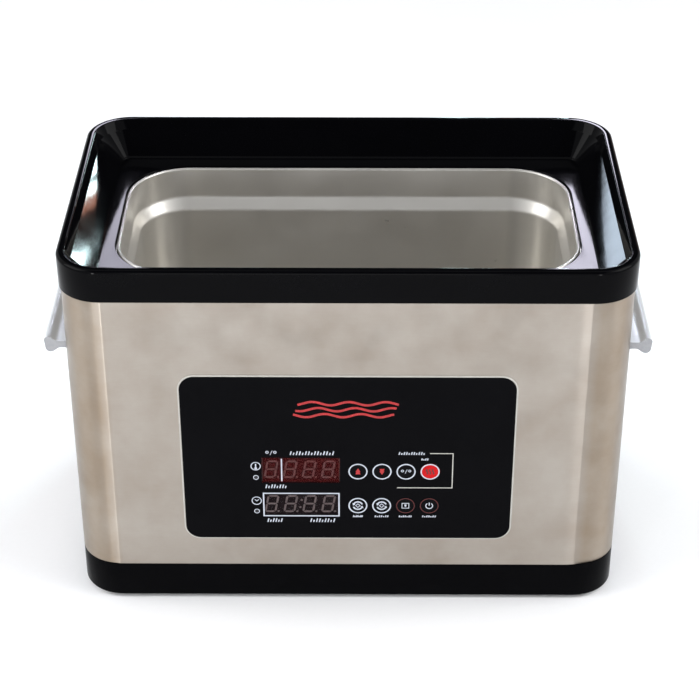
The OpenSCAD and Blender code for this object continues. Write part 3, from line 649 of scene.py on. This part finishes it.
# Rows of tick marks: from x, to x, height of the row, height of the marks, and how many. Like the
# other places on the panel, they are measured from the first key's centre.
TICK_ROWS = (
    (-44.5, -16.5, 14.9, 3.0, 15),
    (-61.2, -48.2, -12.3, 3.0, 8),
    (-60.5, -51.5, -40.6, 3.0, 6),
    (-31.5, -16, -40.6, 3.0, 9),
    (27.4, 43.8, 14.9, 2.2, 11),
    (42.4, 46.2, 10.1, 1.6, 4),
)
# The rows under the lower keys: their widths, and how far apart the keys are
KEY_ROW_WIDTHS = (5.8, 8.4, 7.8, 8.4)
KEY_PITCH = 16
KEY_ROWS_Z = -37.1
SCALE_MARK = (-57.6, 14.9)
BRACKET = ((47.6, 14.9), (62.9, 14.9), (62.9, -13.2), (26.2, -13.2))
KEYS = ("key_raise", "key_lower", "key_units", "key_heat", "key_hours", "key_minutes", "key_preset",
        "key_power")


def band(points, width, closed=False):
    """Quads of a line of that width along points."""
    points = [Vector(p) for p in points]
    count = len(points)
    sides = []
    for i, here in enumerate(points):
        steps = []
        if i or closed:
            steps.append((here - points[i - 1]).normalized())
        if i < count - 1 or closed:
            steps.append((points[(i + 1) % count] - here).normalized())
        along = sum(steps, Vector((0, 0))).normalized()
        across = Vector((-along.y, along.x))
        reach = width / 2 / max(0.35, across.dot(Vector((-steps[0].y, steps[0].x))))
        sides.append((here + across * reach, here - across * reach))
    last = count if closed else count - 1
    return [[sides[i][0], sides[i][1], sides[(i + 1) % count][1], sides[(i + 1) % count][0]]
            for i in range(last)]


def ink(name, faces, look, y=None, body="bath", thick=INK_T):
    """Printed shapes: flat faces, drawn as seen from the front, given a film's thickness at y."""
    y = FACE_Y if y is None else y
    flat = bmesh.new()
    for face in faces:
        flat.faces.new([flat.verts.new(facing_front(p, y) * MM) for p in face])
    bmesh.ops.remove_doubles(flat, verts=flat.verts, dist=0.002 * MM)
    bmesh.ops.recalc_face_normals(flat, faces=flat.faces)
    grown = bmesh.ops.extrude_face_region(flat, geom=flat.faces[:])
    for element in grown["geom"]:
        if isinstance(element, bmesh.types.BMVert):
            element.co.y -= thick * MM
    bmesh.ops.recalc_face_normals(flat, faces=flat.faces)
    mesh = bpy.data.meshes.new(name)
    flat.to_mesh(mesh)
    flat.free()
    mesh.materials.append(look)
    made = bpy.data.objects.new(name, mesh)
    bpy.context.scene.collection.objects.link(made)
    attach(made, body)


def loop_band(centre, radius, width, start=0, end=360, steps=40):
    """A circular line; a whole circle unless start and end say otherwise."""
    points = arc(centre, radius, start, end, steps)
    whole = abs(end - start) == 360
    return band(points[:-1] if whole else points, width, closed=whole)


def moved(outline, dx, dz):
    move = Vector((dx, dz))
    return [p + move for p in outline]


def shifted(faces, dx, dz):
    return [moved(face, dx, dz) for face in faces]


def shape(*points):
    """One flat face from points (x, z)."""
    return [[Vector(p) for p in points]]


def ticks(start, end, z, height, count, lean=0.25):
    """A row of leaning tick marks, where a panel would carry a word."""
    faces = []
    foot = z - height / 2
    for i in range(count):
        x = start + (end - start) * i / (count - 1) - lean * height / 2
        tall = height * 0.62 if i % 3 == 1 else height
        faces += band([(x, foot), (x + lean * tall, foot + tall)], 0.8)
    return faces


def degrees_slash(x, z, size):
    """Two degree rings and a slash between them: a change of scale."""
    faces = band([(x - size * 0.25, z - size * 0.6), (x + size * 0.3, z + size * 0.75)], size * 0.16)
    for side in (-1, 1):
        faces += loop_band((x + side * size, z + size * 0.25), size * 0.32, size * 0.2, steps=20)
    return faces


def build_lip():
    """A thin pale lip on the casing, close round the overlay."""
    width, height, corner = PANEL_HIGH.x - PANEL_LOW.x, PANEL_HIGH.z - PANEL_LOW.z, 10
    casing_face = CASING_IN - RIM_D / 2
    loops = []
    for out, proud in ((0.05, 0), (0.05, 0.5), (0.25, 0.6), (0.85, 0.6), (1.1, 0.3), (1.1, 0)):
        outline = rounded(width + 2 * out, height + 2 * out, corner + out)
        loops.append([Vector((p.x, casing_face - proud, PANEL_Z + p.y)) for p in outline])
    piece("overlay_lip", loft(loops, closed=True), None, look=INK_SILVER)


def wave_rows():
    """Three wavy lines, each a little to the right of the one below and out of step with it."""
    middle_z, row_pitch, rise = 49.7, 4.7, 1.3
    start, length, lag = -41, 66, 1.5
    level_at, degrees_per_mm, out_of_step = -8, 15, 60
    faces = []
    for row in (-1, 0, 1):
        line = []
        for along in range(length + 1):
            x = start + row * lag + along
            swing = math.sin(math.radians((x - level_at) * degrees_per_mm + row * out_of_step))
            line.append((x, middle_z + row * row_pitch + rise * swing))
        faces += band(line, 1.7)
    return faces


def build_panel():
    """The print on the overlay that is not on a key, a window or an indicator."""
    origin = middle("key_raise")
    ink("panel_waves", shifted(wave_rows(), origin.x, origin.z), INK_RED)
    white = degrees_slash(*SCALE_MARK, 2.6)
    for row in TICK_ROWS:
        white += ticks(*row)
    for i, width in enumerate(KEY_ROW_WIDTHS):
        white += ticks(KEY_PITCH * i - width / 2, KEY_PITCH * i + width / 2, KEY_ROWS_Z, 1.5, 7)
    ink("panel_marks", shifted(white, origin.x, origin.z), INK_WHITE)
    ink("panel_bracket", shifted(band(BRACKET, 0.6), origin.x, origin.z), INK_SILVER)


def digit(x, z, height=14.2, width=8.0, stroke=1.35):
    """The seven segments and the point of one digit, centred on (x, z)."""
    half, side = height / 2, width / 2
    gap = 0.22
    tip = stroke / 2
    point_r = 0.75

    def lying(v):
        return [(gap - side + tip, v), (gap * 2 - side + stroke, v + tip),
                (side - stroke - gap * 2, v + tip), (side - tip - gap, v),
                (side - stroke - gap * 2, v - tip), (gap * 2 - side + stroke, v - tip)]

    def standing(across, low, high):
        return [(across, low + gap), (across + tip, low + tip + gap), (across + tip, high - tip - gap),
                (across, high - gap), (across - tip, high - tip - gap), (across - tip, low + tip + gap)]

    faces = [lying(v) for v in (half - tip, 0, tip - half)]
    for across in (tip - side, side - tip):
        faces += [standing(across, 0, half - tip), standing(across, tip - half, 0)]
    faces.append(circle((side + 1.5, point_r - half), point_r, 12))
    return [[Vector((x + u + DIGIT_LEAN * v, z + v)) for u, v in face] for face in faces]


def build_windows():
    """The unlit digits, the film windows over them and the lines printed on those."""
    digits_left, colon_left = 0.8, 0.3
    colon_r, colon_up = 0.8, 3
    segment_t, set_back = 0.08, 0.02
    for name, slot in (("temperature", "red_filter"), ("timer", "smoked_filter")):
        face_y = box(name + "_display")[0].y
        centre = middle(name + "_display")
        faces = []
        for i in range(4):
            faces += digit(centre.x + (i - 1.5) * DIGIT_PITCH - digits_left, centre.z)
        if name == "timer":
            for dz in (-colon_up, colon_up):
                x = centre.x - colon_left + DIGIT_LEAN * dz
                faces.append(circle((x, centre.z + dz), colon_r, 16))
        ink(name + "_digits", faces, SEGMENT, y=face_y, thick=segment_t)
        low, high = box(name + "_window")
        pane = piece(name + "_pane", block((low.x, low.y + set_back, low.z), high), slot,
                     replaces=[name + "_window"])
        bevel(pane, 0.12)
    low, high = box("temperature_window")
    divider_x = low.x + 13.2
    ink("display_divider", band([(divider_x, low.z + 0.9), (divider_x, high.z - 0.7)], 0.9), INK_WHITE)
    centre = middle("timer_window")
    half_w, half_h = 25.3, 9.4
    line = [(centre.x + side_x * half_w, centre.z + side_z * half_h)
            for side_x, side_z in ((-1, -1), (1, -1), (1, 1), (-1, 1))]
    ink("timer_outline", band(line, 0.9, closed=True), INK_WHITE)


def build_indicators():
    """The lamps' rings, with a thermometer and a clock face above them."""
    low, high = box("indicator_lamps")
    x = (low.x + high.x) / 2
    lamp_r = 1.9
    upper, lower = high.z - lamp_r, low.z + lamp_r
    clock, thermometer = lower + 8.7, upper + 9.2
    badge_r, badge_line = 3.1, 0.6
    white = loop_band((x, thermometer), badge_r, badge_line)
    white += band([(x, thermometer - 1.1), (x, thermometer + 1.9)], 0.8)
    white.append(circle((x, thermometer - 1.7), 0.95, 20))
    white += loop_band((x, clock), badge_r, badge_line)
    white += band([(x - 1.2, clock + 1.1), (x, clock - 0.2), (x + 1.5, clock + 1)], 0.55)
    lenses = []
    for z in (upper, lower):
        white += loop_band((x, z), 1.65, 0.5, steps=28)
        lenses.append(circle((x, z), 1.35, 24))
    ink("indicator_marks", white, INK_WHITE)
    ink("indicator_lenses", lenses, FINISHES["lamp_lens"], thick=0.02)


def arrow(x, z, size, way):
    """A solid arrow pointing up (way 1) or down (way -1), with a stem that widens to its foot."""
    neck, tip, foot = (z + way * size * part for part in (-0.2, 1.5, -1.3))
    head = shape((x - size, neck), (x, tip), (x + size, neck))
    top, base = size * 0.62, size * 0.95
    stem = shape((x - top, neck), (x + top, neck), (x + base, foot), (x - base, foot))
    return head + stem


def turn_mark(x, z):
    """Two turning arrows round a small diamond: a value to be set."""
    faces = []
    radius, barb = 3.1, 1.2
    for turn in (0, 180):
        faces += loop_band((x, z), radius, 1.0, turn + 20, turn + 150, steps=14)
        root, tip = arc((x, z), radius, turn + 150, turn + 178, 1)
        out = (root - Vector((x, z))).normalized()
        faces += [[root + out * barb, root - out * barb, tip]]
    return faces + band([(x - 1.5, z), (x, z + 1.5), (x + 1.5, z), (x, z - 1.5)], 0.5, closed=True)


def power_mark(x, z):
    """A ring that is open at its top, with a stroke through the gap."""
    line = 0.62
    return loop_band((x, z), 2.3, line, 125, 415, steps=28) + band([(x, z + 0.2), (x, z + 2.7)], line)


def store_mark(x, z):
    """A square with an arrow down into it: a stored setting."""
    half_w, half_h = 2.3, 2
    square = [(x - half_w, z - half_h), (x + half_w, z - half_h), (x + half_w, z + half_h),
              (x - half_w, z + half_h)]
    return band(square, 0.5, closed=True) + arrow(x, z, 0.8, -1)


def heat_mark(x, z):
    """Three wavy lines that rise side by side."""
    swing, rise, half_h = 0.5, 1.1, 2.2
    faces = []
    for dx in (-2, 0, 2):
        line = [(x + dx + swing * math.sin(math.radians(90 * i)), z - half_h + rise * i) for i in range(5)]
        faces += band(line, 1.0)
    return faces


def build_keys():
    """Each key's film cap and plunger, and the ring and mark printed on it, which move with it."""
    thin_ringed = ("key_preset", "key_power")
    cap_t, crown = 0.95, 0.03
    plunger_r, ring_in = 1.7, 0.55
    marks = {
        "key_raise": (lambda x, z: arrow(x, z, 1.7, 1), INK_RED),
        "key_lower": (lambda x, z: arrow(x, z, 1.7, -1), INK_RED),
        "key_units": (lambda x, z: degrees_slash(x, z, 2.4), INK_WHITE),
        "key_heat": (heat_mark, INK_DARK_RED),
        "key_hours": (turn_mark, INK_WHITE),
        "key_minutes": (turn_mark, INK_WHITE),
        "key_preset": (store_mark, INK_WHITE),
        "key_power": (power_mark, INK_WHITE),
    }
    for name in KEYS:
        low, high = box(name)
        x, z = (low.x + high.x) / 2, (low.z + high.z) / 2
        radius = (high.x - low.x) / 2

        def place(px, pz, y, x=x, z=z):
            return Vector((x + px, y, z + pz))

        face_y = low.y + crown
        side_r = radius - 0.02
        dome = [(side_r, low.y + cap_t), (side_r, low.y + 0.16), (side_r - 0.1, low.y + 0.05),
                (radius - 1.0, face_y)]
        disc = lathe(dome, place, 64)
        plunger = lathe([(plunger_r, high.y), (plunger_r, low.y + cap_t + 0.15),
                         (plunger_r - 0.3, low.y + cap_t + 0.1)], place, 32)
        piece(name + "_cap", joined(disc, plunger), SLOT_OF[name], body=name, replaces=[name])
        line_w, line_ink = (0.45, INK_DARK_RED) if name in thin_ringed else (0.85, INK_WHITE)
        edge = loop_band((x, z), radius - ring_in, line_w, steps=56)
        ink(name + "_ring", edge, line_ink, y=face_y, body=name)
        draw, colour = marks[name]
        ink(name + "_mark", draw(x, z), colour, y=face_y, body=name)


# ---- Underside and rear ----

def build_feet():
    """Four rubber feet with a recess for the screw's head and a hole for its shank."""
    high = box("feet")[1]
    foot_r, recess_r, hole_r, recess_deep = 9, 4.6, 2, 2
    foot_x, foot_y = high.x - foot_r, high.y - foot_r
    profile = [(recess_r, recess_deep), (recess_r, 0.4), (5.0, 0), (7.4, 0), (8.0, 0.3), (8.8, 1.6),
               (foot_r, 2.2), (foot_r, high.z), (hole_r, high.z), (hole_r, recess_deep)]
    parts = []
    for x in (-foot_x, foot_x):
        for y in (-foot_y, foot_y):
            loops = []
            for radius, height in profile:
                loops.append(level(circle((x, y), radius, 48), height))
            parts.append(loft(loops, closed=True))
    piece("rubber_feet", joined(*parts), "black_rubber", replaces=["feet"])


def recessed_screws(name, spots, place, head_r, head_h, slot, replaces):
    """Pan heads with a cross recess; place(spot, x, y, height) turns a height into a position."""
    profile = [(head_r, 0), (head_r, head_h * 0.45), (head_r * 0.9, head_h * 0.78),
               (head_r * 0.68, head_h * 0.95), (head_r * 0.35, head_h)]
    arm, half = head_r * 0.55, head_r * 0.13
    top_z, foot_z, taper = head_h + 1, head_h * 0.25, 0.7
    heads = []
    slots_across, slots_along = [], []
    for spot in spots:
        def at(px, py, h, spot=spot):
            return place(spot, px, py, h)
        heads.append(lathe(profile, at, 32))
        for slots, x, y in ((slots_across, arm, half), (slots_along, half, arm)):
            outline = [(-x, -y), (x, -y), (x, y), (-x, y)]
            top = [at(px, py, top_z) for px, py in outline]
            foot = [at(px * taper, py * taper, foot_z) for px, py in outline]
            slots.append(loft([top, foot]))
    made = piece(name, joined(*heads), slot, replaces=replaces)
    # the two slots of a cross overlap, so they are cut one after the other
    cut(made, *slots_across)
    cut(made, *slots_along)


def build_inlet():
    """An appliance inlet: its shell, its flange, the socket with two chopped corners, and the blades."""
    low, high = box("mains_inlet")
    centre = (low + high) / 2
    face_y = high.y
    body_w, body_h = 27.6, 20
    flange_w, flange_h, flange_from, flange_to = 48, 24, 3.5, 1.52
    half_w, half_h, chop, socket_deep = 12.2, 8.4, 4, 16
    shell = moved(rounded(body_w, body_h, 1.2, 6), centre.x, centre.z)
    flange = moved(rounded(flange_w, flange_h, 2, 6), centre.x, centre.z)
    corners = ((-half_w, -half_h, 1), (half_w, -half_h, 1), (half_w, half_h - chop, 1),
               (half_w - chop, half_h, 1), (chop - half_w, half_h, 1), (-half_w, half_h - chop, 1))
    socket = moved(filleted(corners, 4), centre.x, centre.z)
    body = piece("inlet_body", joined(prism(shell, facing_front, low.y, face_y),
                                      prism(flange, facing_front, face_y - flange_from, face_y - flange_to)),
                 "inlet_nylon", replaces=["mains_inlet"])
    cut(body, prism(socket, facing_front, face_y - socket_deep, face_y + 1))
    bevel(body, 0.3, angle=50)
    blades = []
    blade_low, blade_high = box("inlet_pins")
    for dx, dz in ((-7, -2), (7, -2), (0, 2)):
        x, z = centre.x + dx, centre.z + dz
        loops = []
        for y, w, h in ((blade_low.y, 1, 2), (blade_high.y - 1.2, 1, 2), (blade_high.y, 0.4, 1.4)):
            loops.append([Vector((x - w, y, z - h)), Vector((x + w, y, z - h)),
                          Vector((x + w, y, z + h)), Vector((x - w, y, z + h))])
        blades.append(loft(loops))
    piece("inlet_blades", joined(*blades), "pin_brass", replaces=["inlet_pins"])


def build_plate_screws():
    low, high = box("bottom_plate_screws")
    head_r, head_h = 2.8, 1.6
    side_x, side_y, end_y = high.x - head_r, 50, high.y - head_r
    spots = [(-side_x, -side_y), (-side_x, side_y), (side_x, -side_y), (side_x, side_y)]
    spots += [(0, end_y), (0, -end_y)]

    def below(spot, px, py, h):
        return Vector((spot[0] + px, spot[1] + py, low.z + head_h - h))

    recessed_screws("plate_screw_heads", spots, below, head_r, head_h, "screw_steel", ["bottom_plate_screws"])


def build_foot_screws():
    low, high = box("foot_screws")
    head_r, head_h = 3.8, 1.4
    foot_x, foot_y = high.x - head_r, high.y - head_r
    spots = [(-foot_x, -foot_y), (-foot_x, foot_y), (foot_x, -foot_y), (foot_x, foot_y)]

    def in_foot(spot, px, py, h):
        return Vector((spot[0] + px, spot[1] + py, low.z + head_h - h))

    recessed_screws("foot_screw_heads", spots, in_foot, head_r, head_h, "zinc_steel", ["foot_screws"])


def build_inlet_screws():
    inlet = middle("mains_inlet")
    outer = box("inlet_fixings")[1].y
    head_r, head_h, apart = 2.8, 1.3, 40
    spots = [(inlet.x - apart / 2, inlet.z), (inlet.x + apart / 2, inlet.z)]

    def on_rear(spot, px, py, h):
        return Vector((spot[0] + px, outer - head_h + h, spot[1] + py))

    recessed_screws("inlet_screw_heads", spots, on_rear, head_r, head_h, "zinc_steel", ["inlet_fixings"])


build_rim()
build_tank()
build_casing()
build_base()
build_handle(-1)
build_handle(1)
build_lip()
build_panel()
build_windows()
build_indicators()
build_keys()
build_feet()
build_inlet()
build_plate_screws()
build_foot_screws()
build_inlet_screws()

# ---- Floor, light and camera ----

WORLD_LEVEL = 1.15
DIM = (0.03, 0.03, 0.035)
# Direction, half angle in degrees and colour of each dark hanging
HANGINGS = (
    ((0, 0.82, 0.57), 26, DIM),
    ((0, -0.31, 0.95), 20, DIM),
    ((0, -0.6, 0.8), 24, DIM),
    ((0.45, 0.89, 0.17), 7, (0.30, 0.12, 0.07)),
)
# A hanging fades out over this many degrees, inwards and outwards
HANGING_EDGE = 2
# Small bright cards behind the bath, for the rim to mirror:
# name, centre x and z, width, height, turn in degrees, radiance, tint
CARD_Y = 600
CYAN = (0.72, 0.97, 1.0)
BLUE = (0.70, 0.84, 1.0)
BROWN = (1.0, 0.42, 0.28)
MAUVE = (0.86, 0.84, 1.0)
RIM_CARDS = (
    ("front_patch_card", 208, 346, 15, 40, 0, 190, CYAN),
    ("streak_card", 136, 328, 8, 44, 22, 110, CYAN),
    ("outer_streak_card", 100, 324, 31, 50, 32, 110, CYAN),
    ("brown_card", 150, 334, 16, 44, 22, 9, BROWN),
    ("right_slope_card", -157, 333, 150, 30, -16, 20, BLUE),
    ("left_ledge_card", -241, 560, 34, 150, 0, 20, MAUVE),
    ("right_ledge_card", 230, 559, 34, 150, 0, 34, MAUVE),
)
# A card faces a point across the bath: at this height, at y 0, and at its own x times this factor
CARD_AIM_Z = 248
CARD_AIM_X = -0.8
MIDDLE_OF_BATH = (0, 0, 150)
# The soft lights: name, place, the point faced, width and height, radiance
LARGE_LIGHTS = (
    ("left_softbox", (-1700, -300, 1500), MIDDLE_OF_BATH, (1400, 1400), 4.0),
    ("right_softbox", (1700, -300, 1500), MIDDLE_OF_BATH, (1400, 1400), 4.0),
)
# Lights that the brushed front draws out into its sheen and its bright corners
FRONT_LIGHTS = (
    ("front_box", (-60, -1500, 330), (0, -111, 140), (560, 500), 2.2),
    ("left_strip", (-600, -1360, 250), (-150, -111, 140), (130, 500), 24),
    ("right_strip", (480, -1460, 250), (155, -111, 140), (120, 500), 13),
)
# The camera's tilt from straight down is in degrees, and its turn in radians
CAMERA_AT = (6.9, -1150.7, 860.6)
CAMERA_TILT = 57.71
CAMERA_TURN = 0.0052
CAMERA_LENS = 98.93
PALE = finish("studio_floor", (0.95, 0.95, 0.955), 0.7, specular=0.1, vary=0.01, patch=400, grit=3,
              bump=0.02)


def build_floor():
    half, height = 15000, -0.2
    corners = [(-half, -half, height), (half, -half, height), (half, half, height), (-half, half, height)]
    mesh = bpy.data.meshes.new("studio_floor")
    mesh.from_pydata([Vector(c) * MM for c in corners], [], [[0, 1, 2, 3]])
    mesh.materials.append(PALE)
    floor = bpy.data.objects.new("studio_floor", mesh)
    bpy.context.scene.collection.objects.link(floor)


def softbox(name, at, target, size, radiance, tint=(1, 1, 1), turn=0):
    """An area light of size (width, height) mm at a point, facing target and turned by degrees."""
    lamp = bpy.data.lights.new(name, "AREA")
    lamp.shape = "RECTANGLE"
    lamp.size, lamp.size_y = size[0] * MM, size[1] * MM
    lamp.energy = radiance * math.pi * lamp.size * lamp.size_y
    lamp.color = tint
    holder = bpy.data.objects.new(name, lamp)
    bpy.context.scene.collection.objects.link(holder)
    holder.location = Vector(at) * MM
    aim = (Vector(target) - Vector(at)).to_track_quat("-Z", "Y") @ Quaternion((0, 0, 1), math.radians(turn))
    holder.rotation_mode = "QUATERNION"
    holder.rotation_quaternion = aim
    holder.visible_camera = False


def build_world():
    """A white room with dark hangings where the level and rear parts of the rim would mirror it."""
    world = bpy.data.worlds.new("studio")
    bpy.context.scene.world = world
    world.use_nodes = True
    tree = world.node_tree
    where = node(tree, "TexCoord").node.outputs["Generated"]
    height = node(tree, "SeparateXYZ", {0: where}).node.outputs["Z"]
    colour = shades(tree, height, (0.0, (0.95, 0.96, 0.98)), (1.0, (0.75, 0.77, 0.80)))
    for direction, half_angle, shade in HANGINGS:
        nearness = node(tree, "VectorMath", {0: where, 1: Vector(direction).normalized()},
                        operation="DOT_PRODUCT").node.outputs["Value"]
        outer_edge = math.cos(math.radians(half_angle + HANGING_EDGE))
        inner_edge = math.cos(math.radians(half_angle - HANGING_EDGE))
        inside = spread(tree, nearness, 0, 1, start=outer_edge, end=inner_edge)
        colour = node(tree, "MixRGB", {"Fac": inside, "Color1": colour, "Color2": (*shade, 1)})
    background = tree.nodes["Background"]
    tree.links.new(colour, background.inputs["Color"])
    background.inputs["Strength"].default_value = WORLD_LEVEL


def build_lights():
    for light in LARGE_LIGHTS:
        softbox(*light)
    for name, x, z, width, height, turn, radiance, tint in RIM_CARDS:
        target = (x * CARD_AIM_X, 0, CARD_AIM_Z)
        softbox(name, (x, CARD_Y, z), target, (width, height), radiance, tint, turn)
    for light in FRONT_LIGHTS:
        softbox(*light)


def build_camera():
    data = bpy.data.cameras.new("camera")
    data.lens = CAMERA_LENS
    data.sensor_width = 36
    data.clip_end = 100
    holder = bpy.data.objects.new("camera", data)
    bpy.context.scene.collection.objects.link(holder)
    holder.location = Vector(CAMERA_AT) * MM
    holder.rotation_euler = (math.radians(CAMERA_TILT), 0, CAMERA_TURN)
    bpy.context.scene.camera = holder


build_floor()
build_world()
build_lights()
build_camera()
bpy.context.scene.view_settings.view_transform = "Standard"
